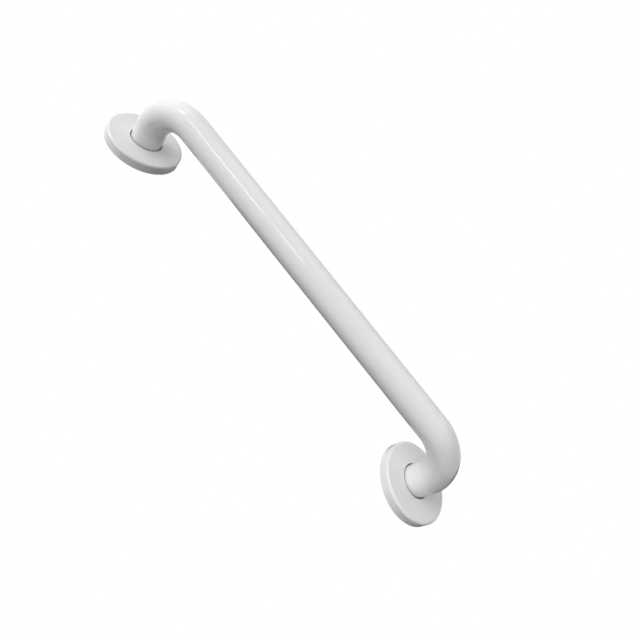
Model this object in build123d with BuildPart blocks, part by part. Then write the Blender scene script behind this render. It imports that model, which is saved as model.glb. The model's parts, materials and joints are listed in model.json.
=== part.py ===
import os

from build123d import *

# Wall grab bar: a bent steel tube with a screw flange welded to each end, and a
# push-fit cover over each flange.
# The wall is the plane Y = 0, the bar runs along X and stands off the wall towards -Y.
# The origin lies on the wall, half way between the two flange centres.

# Bent tube
tube_diameter = 31.75
tube_wall = 1.5
centre_distance = 457.2
bend_radius = 45.0
stub_length = 26.0
tube_end_setback = 0.5

# Flange covers
cover_diameter = 79.0
cover_wall = 1.8
cover_edge_radius = 2.5
cover_hole_clearance = 1.0
cover_hole_edge = 0.4
cover_rim_gap = 0.5
screw_head_space = 6.0

# Ribs inside each cover, which grip the plate's rim and rest on its front
rib_count = 6
rib_width = 2.4
rib_grip_depth = 1.5
rib_ledge = 2.5
rib_grip_clearance = 0.2

# Flange plates
plate_thickness = 4.0
plate_edge_break = 0.6
plate_bore_clearance = 0.1
screw_circle_diameter = 54.0
screw_count = 3
screw_hole_diameter = 6.5
first_screw_angle = 90

# Weld beads
weld_leg = 4.0
weld_crown = 0.4

# Sizes that follow from the ones above
tube_radius = tube_diameter / 2
axis_projection = stub_length + bend_radius
cover_radius = cover_diameter / 2
cover_hole_radius = tube_radius + cover_hole_clearance
cover_height = plate_thickness + screw_head_space + cover_wall
rib_outer_radius = cover_radius - cover_wall / 2
rib_grip_radius = cover_radius - cover_wall - rib_grip_depth
plate_radius = rib_grip_radius - rib_grip_clearance
rib_ledge_radius = plate_radius - rib_ledge

os.makedirs("parts", exist_ok=True)

# Bent tube: a ring swept from one wall end to the other
with BuildPart() as bar_tube:
    with BuildLine() as bar_axis:
        FilletPolyline(
            (-centre_distance / 2, -tube_end_setback, 0),
            (-centre_distance / 2, -axis_projection, 0),
            (centre_distance / 2, -axis_projection, 0),
            (centre_distance / 2, -tube_end_setback, 0),
            radius=bend_radius,
        )
    with BuildSketch(Plane(origin=bar_axis.line @ 0, z_dir=bar_axis.line % 0)):
        Circle(tube_radius)
        Circle(tube_radius - tube_wall, mode=Mode.SUBTRACT)
    sweep()
bar_tube.part.label = "bar_tube"
export_step(bar_tube.part, "parts/bar_tube.step")

# The two ends are alike: a plate on the wall, a weld round the tube, a cover over both
for end_name, end_side in (("left", -1), ("right", 1)):
    flange_centre = (end_side * centre_distance / 2, 0, 0)
    stub_axis = Axis(flange_centre, (0, -1, 0))
    # Seen from the room: x along the bar, y up, z out of the wall
    wall_plane = Plane(origin=flange_centre, x_dir=(1, 0, 0), z_dir=(0, -1, 0))
    # Half section of the flange: x is the radius, y the height above the wall
    section_plane = Plane(origin=flange_centre, x_dir=(1, 0, 0), z_dir=(0, 0, -1))

    # Flange plate: a disc with a bore for the tube and a circle of screw holes
    with BuildPart() as flange_plate:
        with BuildSketch(wall_plane):
            Circle(plate_radius)
        extrude(amount=plate_thickness)
        chamfer(flange_plate.edges().sort_by(Axis.Y)[0], plate_edge_break)
        with Locations(wall_plane.offset(plate_thickness)):
            Hole(tube_radius + plate_bore_clearance)
            with PolarLocations(screw_circle_diameter / 2, screw_count, first_screw_angle):
                Hole(screw_hole_diameter / 2)
    flange_plate.part.label = f"{end_name}_flange_plate"
    export_step(flange_plate.part, f"parts/{end_name}_flange_plate.step")

    # Weld bead: a fillet weld with a slightly raised face, between tube and plate
    with BuildPart() as weld_bead:
        with BuildSketch(section_plane):
            with BuildLine():
                weld_legs = Polyline(
                    (tube_radius, plate_thickness + weld_leg),
                    (tube_radius, plate_thickness),
                    (tube_radius + weld_leg, plate_thickness),
                )
                SagittaArc(weld_legs @ 0, weld_legs @ 1, weld_crown)
            make_face()
        revolve(axis=stub_axis)
    weld_bead.part.label = f"{end_name}_weld_bead"
    export_step(weld_bead.part, f"parts/{end_name}_weld_bead.step")

    # Cover: a shallow cup of even wall, with a clear hole for the stub and ribs inside
    with BuildPart() as flange_cover:
        with BuildSketch(section_plane):
            with BuildLine():
                FilletPolyline(
                    (cover_radius, cover_rim_gap),
                    (cover_radius, cover_height),
                    (cover_hole_radius, cover_height),
                    radius=cover_edge_radius,
                )
                offset(amount=cover_wall, side=Side.LEFT)
            make_face()
        revolve(axis=stub_axis)
        cover_face = flange_cover.faces().sort_by(Axis.Y)[0]
        fillet(cover_face.inner_wires().edges(), cover_hole_edge)
        # Lower part of each rib: grips the plate's rim
        with BuildSketch(wall_plane.offset(cover_rim_gap)):
            with PolarLocations((rib_grip_radius + rib_outer_radius) / 2, rib_count):
                Rectangle(rib_outer_radius - rib_grip_radius, rib_width)
        extrude(amount=plate_thickness - cover_rim_gap)
        # Upper part of each rib: a ledge that rests on the plate's front
        with BuildSketch(wall_plane.offset(plate_thickness)):
            with PolarLocations((rib_ledge_radius + rib_outer_radius) / 2, rib_count):
                Rectangle(rib_outer_radius - rib_ledge_radius, rib_width)
        extrude(amount=screw_head_space)
    flange_cover.part.label = f"{end_name}_flange_cover"
    export_step(flange_cover.part, f"parts/{end_name}_flange_cover.step")
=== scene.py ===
import json
import math

import bpy
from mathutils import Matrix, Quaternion, Vector


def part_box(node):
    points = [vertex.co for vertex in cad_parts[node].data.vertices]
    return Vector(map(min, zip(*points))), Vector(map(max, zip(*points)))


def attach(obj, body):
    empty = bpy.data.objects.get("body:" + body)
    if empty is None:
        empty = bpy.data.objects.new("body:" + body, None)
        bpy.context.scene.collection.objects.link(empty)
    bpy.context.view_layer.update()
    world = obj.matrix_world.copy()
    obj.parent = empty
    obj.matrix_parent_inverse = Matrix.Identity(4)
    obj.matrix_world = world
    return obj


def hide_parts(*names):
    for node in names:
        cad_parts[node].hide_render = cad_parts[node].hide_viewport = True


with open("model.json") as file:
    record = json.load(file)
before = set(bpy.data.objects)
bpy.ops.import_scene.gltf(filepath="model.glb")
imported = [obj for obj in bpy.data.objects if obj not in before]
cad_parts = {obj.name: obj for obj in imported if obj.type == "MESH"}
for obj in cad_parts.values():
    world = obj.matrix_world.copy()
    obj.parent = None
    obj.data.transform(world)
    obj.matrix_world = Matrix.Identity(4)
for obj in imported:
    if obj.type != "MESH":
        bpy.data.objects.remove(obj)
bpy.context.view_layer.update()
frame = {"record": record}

# Bent tube: the rail itself, one length of round steel tube, 1 1/4 inch across.
# It is cut square, bent twice over a former and powder coated white, and stays bare inside.
# Its two stubs end just short of the wall, in the bores of the flange plates.
TUBE_WALL = 0.0015
BEND_RADIUS = 0.045
STUB_LENGTH = 0.026
TUBE_SIDES = 128
BEND_STEPS = 48
CUT_EDGE = 0.0003
CUT_EDGE_SEGMENTS = 2
TUBE_SHARP_ANGLE = math.radians(35)
COAT_SHADES = ((0.80, 0.80, 0.80, 1), (0.84, 0.84, 0.84, 1))
STEEL_SHADES = ((0.30, 0.29, 0.28, 1), (0.46, 0.46, 0.46, 1))
QUARTER_TURN = math.pi / 2
TOUCH = 1e-5
MERGE = 1e-6

mounts = {mount["name"]: mount for mount in frame["record"]["mounts"]}
stub_x = mounts["right_screws"]["pos_m"][0]
tube_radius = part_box("bar_tube")[1].z
tube_end_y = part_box("bar_tube")[1].y
bend_centre_x = stub_x - BEND_RADIUS
bend_centre_y = -STUB_LENGTH


def open_new(name):
    """Name the primitive that was just added, put its place into its mesh and open it for editing."""
    piece = bpy.context.object
    piece.name = name
    bpy.ops.object.transform_apply(location=True, rotation=True, scale=True)
    bpy.ops.object.mode_set(mode="EDIT")
    bpy.ops.mesh.select_all(action="SELECT")
    return piece


def select_only(piece):
    """Leave this piece alone selected and active, in object mode."""
    bpy.ops.object.select_all(action="DESELECT")
    piece.select_set(True)
    bpy.context.view_layer.objects.active = piece


def select_points(piece, wanted, kind="EDGE"):
    """Open the piece with just the wanted points selected, and the edges or faces between them."""
    bpy.ops.object.mode_set(mode="EDIT")
    bpy.ops.mesh.select_mode(type="VERT")
    bpy.ops.mesh.select_all(action="DESELECT")
    bpy.ops.object.mode_set(mode="OBJECT")
    for point in piece.data.vertices:
        point.select = wanted(point.co)
    bpy.ops.object.mode_set(mode="EDIT")
    bpy.ops.mesh.select_mode(type=kind)


def draw_out(x=0.0, y=0.0):
    """Extrude what is selected by this much."""
    bpy.ops.mesh.extrude_region_move(TRANSFORM_OT_translate={"value": (x, y, 0)})


def close_mesh():
    """Merge the seams of the mesh being edited and turn its faces outwards, then leave edit mode."""
    bpy.ops.mesh.select_all(action="SELECT")
    bpy.ops.mesh.remove_doubles(threshold=MERGE)
    bpy.ops.mesh.normals_make_consistent(inside=False)
    bpy.ops.object.mode_set(mode="OBJECT")


def apply_modifier(piece, kind, **settings):
    """Add a modifier to a piece and apply it at once."""
    select_only(piece)
    modifier = piece.modifiers.new(kind.lower(), kind)
    for name, value in settings.items():
        setattr(modifier, name, value)
    bpy.ops.object.modifier_apply(modifier=modifier.name)


bpy.ops.object.select_all(action="DESELECT")
bpy.ops.mesh.primitive_circle_add(
    vertices=TUBE_SIDES,
    radius=tube_radius,
    location=(-stub_x, tube_end_y, 0),
    rotation=(QUARTER_TURN, 0, 0),
)
bent_tube = open_new("bent_tube")
draw_out(y=bend_centre_y - tube_end_y)
bpy.ops.mesh.spin(
    steps=BEND_STEPS, angle=QUARTER_TURN, center=(-bend_centre_x, bend_centre_y, 0), axis=(0, 0, -1)
)
draw_out(x=2 * bend_centre_x)
bpy.ops.mesh.spin(
    steps=BEND_STEPS, angle=QUARTER_TURN, center=(bend_centre_x, bend_centre_y, 0), axis=(0, 0, -1)
)
draw_out(y=tube_end_y - bend_centre_y)
close_mesh()
apply_modifier(
    bent_tube, "SOLIDIFY", thickness=TUBE_WALL, offset=-1, use_even_offset=True, material_offset=1
)
select_points(bent_tube, lambda point: point.y > tube_end_y - TOUCH)
bpy.ops.mesh.bevel(offset=CUT_EDGE, segments=CUT_EDGE_SEGMENTS, affect="EDGES")
bpy.ops.object.mode_set(mode="OBJECT")
bpy.ops.object.shade_smooth_by_angle(angle=TUBE_SHARP_ANGLE)


class Shade:
    """An output of a node; sums and products of it in Python add Math nodes beside it."""

    def __init__(self, tree, output=None):
        self.tree = tree
        self.output = output

    def add(self, kind, sockets, settings=None, output=0):
        """Add a node: its settings first, then the values or links of its sockets."""
        node = self.tree.nodes.new(kind)
        for name, value in (settings or {}).items():
            setattr(node, name, value)
        for name, value in sockets.items():
            if isinstance(value, Shade):
                self.tree.links.new(value.output, node.inputs[name])
            else:
                node.inputs[name].default_value = value
        return Shade(self.tree, node.outputs[output] if node.outputs else None)

    def maths(self, operation, first, second):
        """Add a Math node."""
        return self.add("ShaderNodeMath", {0: first, 1: second}, {"operation": operation})

    def __add__(self, other):
        return self.maths("ADD", self, other)

    def __mul__(self, other):
        return self.maths("MULTIPLY", self, other)

    __radd__ = __add__
    __rmul__ = __mul__


def new_surface(name):
    """An empty material, and the start of its nodes: the place of a point on its piece."""
    material = bpy.data.materials.new(name)
    material.use_nodes = True
    material.node_tree.nodes.clear()
    place = Shade(material.node_tree).add("ShaderNodeTexCoord", {}, output="Object")
    return material, place


# Sockets of a Mix node that mixes colours
MIX_FIRST, MIX_SECOND, MIX_RESULT = 6, 7, 2


def blend_colours(share, first, second):
    """Mix two colours by a share that changes over the surface."""
    sockets = {"Factor": share, MIX_FIRST: first, MIX_SECOND: second}
    return share.add("ShaderNodeMix", sockets, {"data_type": "RGBA"}, MIX_RESULT)


def powder_coat_material():
    """Glossy white powder coat: baked on, with a faint orange peel and a film that varies a little."""
    material, place = new_surface("white_powder_coat")
    film = place.add("ShaderNodeTexNoise", {"Vector": place, "Scale": 38.0, "Detail": 3.0})
    peel = place.add("ShaderNodeTexNoise", {"Vector": place, "Scale": 520.0, "Detail": 2.0})
    height = peel + film * 2.0
    bump = place.add("ShaderNodeBump", {"Height": height, "Strength": 0.06, "Distance": 0.0004})
    sockets = {
        "Base Color": blend_colours(film, *COAT_SHADES),
        "Roughness": 0.04 + film * 0.04,
        "Normal": bump,
        "IOR": 1.5,
    }
    shader = place.add("ShaderNodeBsdfPrincipled", sockets)
    place.add("ShaderNodeOutputMaterial", {"Surface": shader})
    return material


def bare_steel_material():
    """Uncoated inside of the tube: drawn steel, dull, with streaks along the way it was drawn."""
    material, place = new_surface("bare_steel")
    along = place.add("ShaderNodeMapping", {"Vector": place, "Scale": (1.0, 0.05, 1.0)})
    streaks = place.add("ShaderNodeTexNoise", {"Vector": along, "Scale": 900.0, "Detail": 4.0})
    stains = place.add("ShaderNodeTexNoise", {"Vector": place, "Scale": 150.0, "Detail": 3.0})
    sockets = {
        "Base Color": blend_colours(stains, *STEEL_SHADES),
        "Metallic": 1.0,
        "Roughness": 0.35 + streaks * 0.3,
        "Normal": place.add("ShaderNodeBump", {"Height": streaks, "Strength": 0.2, "Distance": 0.0003}),
    }
    shader = place.add("ShaderNodeBsdfPrincipled", sockets)
    place.add("ShaderNodeOutputMaterial", {"Surface": shader})
    return material


powder_coat = powder_coat_material()
bent_tube.data.materials.append(powder_coat)
bent_tube.data.materials.append(bare_steel_material())
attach(bent_tube, "bar")
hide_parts("bar_tube")

# Flange plates: a laser-cut steel disc at each end, with a bore for the tube and three screw holes.
# The disc is pushed over the stub, welded, and powder coated together with the tube.
PLATE_SIDES = 160
PLATE_EDGE_BREAK = 0.0006
PLATE_BORE_CLEARANCE = 0.0001
HOLE_SIDES = 48
HOLE_EDGE = 0.0002
HOLE_EDGE_SEGMENTS = 2
HOLE_EDGE_ANGLE = math.radians(60)
SHARP_ANGLE = math.radians(30)
CUT_BEYOND = 0.002
MM_PER_METRE = 1000
FULL_TURN = 2 * math.pi
STUB_AXIS = (0, 1, 0)

plate_low, plate_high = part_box("left_flange_plate")
plate_radius = plate_high.z
plate_front_y = plate_low.y
plate_back_y = plate_high.y
plate_middle = Vector((-stub_x, (plate_front_y + plate_back_y) / 2, 0))
plate_thickness = plate_back_y - plate_front_y
screws = mounts["left_screws"]["dims"]
screw_circle_radius = screws["pcd_mm"] / 2 / MM_PER_METRE
screw_hole_radius = screws["hole_r_mm"] / MM_PER_METRE


def axis_distance(point):
    """How far a point is from the axis of the left stub."""
    return math.hypot(point.x + stub_x, point.z)


def add_round(radius, height, middle, sides):
    """Add a cylinder whose axis runs away from the wall."""
    bpy.ops.object.select_all(action="DESELECT")
    bpy.ops.mesh.primitive_cylinder_add(
        vertices=sides, radius=radius, depth=height, location=middle, rotation=(QUARTER_TURN, 0, 0)
    )


def copy_to_right(piece, name):
    """Copy a finished piece of the left end, with a mesh of its own, to the right end."""
    select_only(piece)
    bpy.ops.object.duplicate(linked=False)
    copy = bpy.context.object
    copy.name = name
    bpy.ops.transform.translate(value=(2 * stub_x, 0, 0))
    bpy.ops.object.transform_apply(location=True, rotation=True, scale=True)
    return copy


add_round(plate_radius, plate_thickness, plate_middle, PLATE_SIDES)
left_plate = open_new("left_plate")
select_points(left_plate, lambda point: point.y < plate_front_y + TOUCH)
bpy.ops.mesh.bevel(offset=PLATE_EDGE_BREAK, segments=1, affect="EDGES")
bpy.ops.object.mode_set(mode="OBJECT")

add_round(tube_radius + PLATE_BORE_CLEARANCE, plate_thickness + CUT_BEYOND, plate_middle, TUBE_SIDES)
bore_cutter = open_new("bore_cutter")
bpy.ops.object.mode_set(mode="OBJECT")
screw_place = plate_middle + Vector((0, 0, screw_circle_radius))
add_round(screw_hole_radius, plate_thickness + CUT_BEYOND, screw_place, HOLE_SIDES)
screw_cutter = open_new("screw_cutter")
bpy.ops.mesh.spin(
    steps=screws["count"] - 1,
    dupli=True,
    angle=FULL_TURN * (screws["count"] - 1) / screws["count"],
    center=plate_middle,
    axis=STUB_AXIS,
)
bpy.ops.object.mode_set(mode="OBJECT")
for cutter in (bore_cutter, screw_cutter):
    apply_modifier(left_plate, "BOOLEAN", object=cutter, operation="DIFFERENCE", solver="EXACT")
    bpy.data.objects.remove(cutter)
apply_modifier(
    left_plate,
    "BEVEL",
    width=HOLE_EDGE,
    segments=HOLE_EDGE_SEGMENTS,
    limit_method="ANGLE",
    angle_limit=HOLE_EDGE_ANGLE,
)
bpy.ops.object.shade_smooth_by_angle(angle=SHARP_ANGLE)
apply_modifier(left_plate, "WEIGHTED_NORMAL", keep_sharp=True)
left_plate.data.materials.append(powder_coat)
right_plate = copy_to_right(left_plate, "right_plate")
for plate, node in ((left_plate, "left_flange_plate"), (right_plate, "right_flange_plate")):
    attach(plate, "bar")
    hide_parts(node)

# Weld beads: the steel that joins each plate to its stub, laid in the corner on the room side.
# The bead is one run with the ripples that a welder leaves, and is coated over with the rest.
BEAD_RIPPLES = 46
STEPS_PER_RIPPLE = 6
RAISED_STEPS = 3
RIPPLE_HEIGHT = 0.00022
CROWN_PROFILE = 0.31
CROWN_SEGMENTS = 8
RIPPLE_BOW = 2.2
BEAD_FOOT = 0.05
BEAD_SHARP_ANGLE = math.radians(60)

bead_low, bead_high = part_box("left_weld_bead")
bead_leg = bead_high.y - bead_low.y
bead_corner = Vector((-stub_x + tube_radius, plate_front_y, 0))
bead_steps = BEAD_RIPPLES * STEPS_PER_RIPPLE

bpy.ops.object.select_all(action="DESELECT")
bead_middle = bead_corner + Vector((bead_leg / 2, -bead_leg / 2, 0))
bpy.ops.mesh.primitive_plane_add(size=bead_leg, location=bead_middle)
left_bead = open_new("left_bead")
outer_corner = bead_corner + Vector((bead_leg, -bead_leg, 0))
select_points(left_bead, lambda point: (point - outer_corner).length < TOUCH, kind="VERT")
bpy.ops.mesh.bevel(
    offset=bead_leg - TOUCH, segments=CROWN_SEGMENTS, profile=CROWN_PROFILE, affect="VERTICES"
)
bpy.ops.mesh.select_all(action="SELECT")
bpy.ops.mesh.remove_doubles(threshold=2 * TOUCH)
bpy.ops.mesh.delete(type="ONLY_FACE")
bpy.ops.mesh.select_all(action="SELECT")
bpy.ops.mesh.spin(steps=bead_steps, angle=FULL_TURN, center=(-stub_x, 0, 0), axis=STUB_AXIS)
close_mesh()


def on_ripple(point):
    """Whether a point is on the raised half of a ripple, which bows forward on the crown of the bead."""
    across = (axis_distance(point) - tube_radius) / bead_leg
    up = (plate_front_y - point.y) / bead_leg
    if across < BEAD_FOOT or up < BEAD_FOOT:
        return False
    step = math.atan2(point.z, point.x + stub_x) / FULL_TURN * bead_steps
    # Four times the product is one in the middle of a flat face from foot to foot
    bow = RIPPLE_BOW * 4 * across * up
    return round(step + bow) % STEPS_PER_RIPPLE < RAISED_STEPS


select_points(left_bead, on_ripple, kind="VERT")
bpy.ops.transform.shrink_fatten(value=RIPPLE_HEIGHT)
bpy.ops.object.mode_set(mode="OBJECT")
bpy.ops.object.shade_smooth_by_angle(angle=BEAD_SHARP_ANGLE)
left_bead.data.materials.append(powder_coat)
right_bead = copy_to_right(left_bead, "right_bead")
for bead, node in ((left_bead, "left_weld_bead"), (right_bead, "right_weld_bead")):
    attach(bead, "bar")
    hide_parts(node)

# Flange covers: a shallow white plastic cup over each plate, injection moulded with an even wall.
# It is loose on the stub, slides down over the screw heads, and its six ribs grip the plate.
COVER_SIDES = 160
COVER_WALL = 0.0018
COVER_EDGE_RADIUS = 0.0025
COVER_EDGE_SEGMENTS = 10
COVER_HOLE_CLEARANCE = 0.0010
COVER_HOLE_EDGE = 0.0004
COVER_HOLE_SEGMENTS = 3
RIM_EDGE = 0.0003
RIM_EDGE_SEGMENTS = 2
RIB_COUNT = 6
RIB_WIDTH = 0.0024
RIB_LEDGE = 0.0025
RIB_GRIP_CLEARANCE = 0.0002
RIB_EDGE = 0.0002
RIB_EDGE_SEGMENTS = 2
PLASTIC_SHADES = ((0.82, 0.82, 0.82, 1), (0.85, 0.85, 0.85, 1))

cover_low, cover_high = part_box("left_flange_cover")
cover_radius = cover_high.z
cover_rim_y = cover_high.y
cover_front_y = cover_low.y
cover_hole_radius = tube_radius + COVER_HOLE_CLEARANCE

bpy.ops.object.select_all(action="DESELECT")
bpy.ops.mesh.primitive_circle_add(
    vertices=COVER_SIDES,
    radius=cover_radius,
    location=(-stub_x, cover_rim_y, 0),
    rotation=(QUARTER_TURN, 0, 0),
)
left_cover = open_new("left_cover")
draw_out(y=cover_front_y - cover_rim_y)
draw_out()
narrowing = cover_hole_radius / cover_radius
bpy.ops.transform.resize(
    value=(narrowing, 1, narrowing), center_override=(-stub_x, cover_front_y, 0)
)
select_points(
    left_cover,
    lambda point: point.y < cover_front_y + TOUCH and axis_distance(point) > cover_radius - TOUCH,
)
bpy.ops.mesh.bevel(offset=COVER_EDGE_RADIUS, segments=COVER_EDGE_SEGMENTS, affect="EDGES")
close_mesh()
apply_modifier(left_cover, "SOLIDIFY", thickness=COVER_WALL, offset=-1, use_even_offset=True)
select_points(
    left_cover,
    lambda point: point.y < cover_front_y + TOUCH and axis_distance(point) < cover_hole_radius + TOUCH,
)
bpy.ops.mesh.bevel(offset=COVER_HOLE_EDGE, segments=COVER_HOLE_SEGMENTS, affect="EDGES")
select_points(left_cover, lambda point: point.y > cover_rim_y - TOUCH)
bpy.ops.mesh.bevel(offset=RIM_EDGE, segments=RIM_EDGE_SEGMENTS, affect="EDGES")
bpy.ops.object.mode_set(mode="OBJECT")

rib_inner = plate_radius + RIB_GRIP_CLEARANCE
rib_outer = cover_radius - COVER_WALL / 2
rib_ledge_inner = plate_radius - RIB_LEDGE
rib_top_y = cover_front_y + COVER_WALL / 2
rib_middle = Vector((-stub_x + (rib_inner + rib_outer) / 2, (cover_rim_y + rib_top_y) / 2, 0))
bpy.ops.object.select_all(action="DESELECT")
bpy.ops.mesh.primitive_cube_add(
    size=1, location=rib_middle, scale=(rib_outer - rib_inner, cover_rim_y - rib_top_y, RIB_WIDTH)
)
ribs = open_new("ribs")
bpy.ops.mesh.bisect(plane_co=(0, plate_front_y, 0), plane_no=STUB_AXIS)
select_points(
    ribs,
    lambda point: point.x < -stub_x + rib_inner + TOUCH and point.y < plate_front_y + TOUCH,
    kind="FACE",
)
draw_out(x=rib_ledge_inner - rib_inner)
bpy.ops.mesh.select_all(action="SELECT")
bpy.ops.mesh.bevel(offset=RIB_EDGE, segments=RIB_EDGE_SEGMENTS, affect="EDGES")
bpy.ops.mesh.select_all(action="SELECT")
bpy.ops.mesh.spin(
    steps=RIB_COUNT - 1,
    dupli=True,
    angle=FULL_TURN * (RIB_COUNT - 1) / RIB_COUNT,
    center=(-stub_x, 0, 0),
    axis=STUB_AXIS,
)
close_mesh()
apply_modifier(left_cover, "BOOLEAN", object=ribs, operation="UNION", solver="EXACT")
bpy.data.objects.remove(ribs)
bpy.ops.object.mode_set(mode="EDIT")
bpy.ops.mesh.select_all(action="SELECT")
bpy.ops.mesh.dissolve_degenerate(threshold=TOUCH)
close_mesh()
bpy.ops.object.shade_smooth_by_angle(angle=SHARP_ANGLE)
apply_modifier(left_cover, "WEIGHTED_NORMAL", keep_sharp=True)


def moulded_plastic_material():
    """Glossy white moulded plastic: smoother than the coat, with only a faint waviness from cooling."""
    material, place = new_surface("white_moulded_plastic")
    waves = place.add("ShaderNodeTexNoise", {"Vector": place, "Scale": 60.0, "Detail": 2.0})
    scuffs = place.add("ShaderNodeTexNoise", {"Vector": place, "Scale": 240.0, "Detail": 4.0})
    sockets = {
        "Base Color": blend_colours(waves, *PLASTIC_SHADES),
        "Roughness": 0.10 + scuffs * 0.08,
        "Normal": place.add("ShaderNodeBump", {"Height": waves, "Strength": 0.08, "Distance": 0.0006}),
        "IOR": 1.5,
    }
    shader = place.add("ShaderNodeBsdfPrincipled", sockets)
    place.add("ShaderNodeOutputMaterial", {"Surface": shader})
    return material


left_cover.data.materials.append(moulded_plastic_material())
right_cover = copy_to_right(left_cover, "right_cover")
for cover, body, node in (
    (left_cover, "left_cover", "left_flange_cover"),
    (right_cover, "right_cover", "right_flange_cover"),
):
    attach(cover, body)
    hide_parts(node)

# Camera: low in front of the bar and looking up at it, turned far over on its side.
# It stands about 0.4 m away with a wide lens, and its shift frames the bar off the middle.
CAMERA_PLACE = Vector((0.03835, -0.31791, -0.31685))
CAMERA_AIM = Vector((0.01405, -0.071, 0.00906))
CAMERA_ROLL = math.radians(-55.75)
CAMERA_LENS = 23.539
CAMERA_SENSOR = 36.0
CAMERA_SHIFT = (-0.0060, -0.0584)
ROLL_AXIS = (0, 0, 1)

bpy.ops.object.camera_add(location=CAMERA_PLACE)
camera = bpy.context.object
camera.name = "camera"
camera.rotation_mode = "QUATERNION"
level_turn = (CAMERA_AIM - CAMERA_PLACE).to_track_quat("-Z", "Y")
camera.rotation_quaternion = level_turn @ Quaternion(ROLL_AXIS, -CAMERA_ROLL)
camera.data.sensor_width = CAMERA_SENSOR
camera.data.lens = CAMERA_LENS
camera.data.shift_x, camera.data.shift_y = CAMERA_SHIFT
bpy.context.scene.camera = camera

# Studio: a pale floor far below the bar, which hangs in the air as it does on its wall, and soft lamps.
# A dark card behind the bar, unseen by the camera, gives its lower edges something dark to reflect.
# Half of the lamps are kept out of reflections, and three narrow ones draw the bright line on the coat.
FLOOR_DROP = 4.5
FLOOR_SIZE = 400.0
FLOOR_GLOW = 0.85
FLOOR_SHADES = ((0.86, 0.86, 0.86, 1), (0.9, 0.9, 0.9, 1))
CARD_SIZE = 8.0
CARD_PLACE = (2.7, 2.1, 0)
CARD_TURN = (QUARTER_TURN, 0, math.radians(-12))
CARD_SHADES = ((0.04, 0.04, 0.04, 1), (0.05, 0.05, 0.05, 1))
CLOUD_SCALE = 3.0
WHITE = (1, 1, 1, 1)
DIM_LIGHT = 0.05
BAR_MIDDLE = Vector((0, -0.05, 0))


def seen_share(start):
    """One for rays that show a surface, straight or mirrored, and zero for rays that light another."""
    share = start.add("ShaderNodeLightPath", {}, output="Is Camera Ray")
    for ray in ("Is Glossy Ray", "Is Transmission Ray"):
        share = share + start.add("ShaderNodeLightPath", {}, output=ray)
    return share


def clouded_colour(place, shades):
    """Two shades that drift into each other over a surface."""
    clouds = place.add("ShaderNodeTexNoise", {"Vector": place, "Scale": CLOUD_SCALE})
    return blend_colours(clouds, *shades)


bpy.ops.mesh.primitive_plane_add(size=FLOOR_SIZE, location=(0, 0, -FLOOR_DROP))
floor = bpy.context.object
floor.name = "floor"
floor_material, floor_place = new_surface("pale_floor")
floor_colour = clouded_colour(floor_place, FLOOR_SHADES)
floor_paint = floor_place.add("ShaderNodeBsdfPrincipled", {"Base Color": floor_colour, "Roughness": 0.7})
floor_glow = floor_place.add("ShaderNodeEmission", {"Color": floor_colour})
floor_shader = floor_place.add(
    "ShaderNodeMixShader", {0: seen_share(floor_place) * FLOOR_GLOW, 1: floor_paint, 2: floor_glow}
)
floor_place.add("ShaderNodeOutputMaterial", {"Surface": floor_shader})
floor.data.materials.append(floor_material)

bpy.ops.mesh.primitive_plane_add(size=CARD_SIZE, location=CARD_PLACE, rotation=CARD_TURN)
card = bpy.context.object
card.name = "dark_card"
card.visible_camera = False
card_material, card_place = new_surface("dark_card")
card_colour = clouded_colour(card_place, CARD_SHADES)
card_paint = card_place.add("ShaderNodeBsdfPrincipled", {"Base Color": card_colour, "Roughness": 0.9})
card_place.add("ShaderNodeOutputMaterial", {"Surface": card_paint})
card.data.materials.append(card_material)


def add_lamp(name, place, aim, size, power, reflected=True):
    """A soft rectangular lamp that faces the point it is aimed at; it may be kept out of reflections."""
    bpy.ops.object.light_add(type="AREA", location=place)
    lamp = bpy.context.object
    lamp.name = name
    lamp.data.shape = "RECTANGLE"
    lamp.data.size, lamp.data.size_y = size
    lamp.data.energy = power
    lamp.rotation_euler = (Vector(aim) - Vector(place)).to_track_quat("-Z", "Y").to_euler()
    lamp.visible_glossy = reflected


add_lamp("key_lamp", (-1.3, -1.7, -1.0), BAR_MIDDLE, (2.0, 2.0), 10.0, reflected=False)
add_lamp("left_lamp", (-5.2, -1.9, -0.9), BAR_MIDDLE, (5.6, 5.6), 266.0, reflected=False)
add_lamp("low_lamp", (-0.3, 0.5, -2.3), BAR_MIDDLE, (1.6, 1.6), 6.7, reflected=False)
add_lamp("high_front_lamp", (0.03, -1.44, 0.8), BAR_MIDDLE, (1.8, 1.8), 6.5)
add_lamp("right_lamp", (0.6, -0.85, -0.25), BAR_MIDDLE, (0.9, 0.9), 1.4)
add_lamp("stub_lamp", (0.3, -0.45, -0.4), (-stub_x, -0.03, 0), (0.4, 0.4), 0.3, reflected=False)
add_lamp("back_lamp", (-0.1, 1.45, 1.2), BAR_MIDDLE, (1.0, 1.6), 33.0, reflected=False)
add_lamp("left_strip_lamp", (-0.53, -0.77, -0.56), (-0.53, -0.071, 0), (0.44, 0.1), 0.9)
add_lamp("bend_strip_lamp", (-1.0, -0.6, -0.29), (-0.21, -0.08, 0), (0.25, 0.12), 0.5)
add_lamp("right_strip_lamp", (-0.19, -0.8, -0.52), (-0.19, -0.071, 0), (0.15, 0.1), 0.3)

world = bpy.data.worlds.new("white_studio")
bpy.context.scene.world = world
world.use_nodes = True
world.node_tree.nodes.clear()
sky = Shade(world.node_tree)
seen = seen_share(sky)
strength = DIM_LIGHT + seen * (1 - DIM_LIGHT)
backdrop = sky.add("ShaderNodeBackground", {"Color": WHITE, "Strength": strength})
sky.add("ShaderNodeOutputWorld", {"Surface": backdrop})
bpy.context.scene.view_settings.view_transform = "Standard"
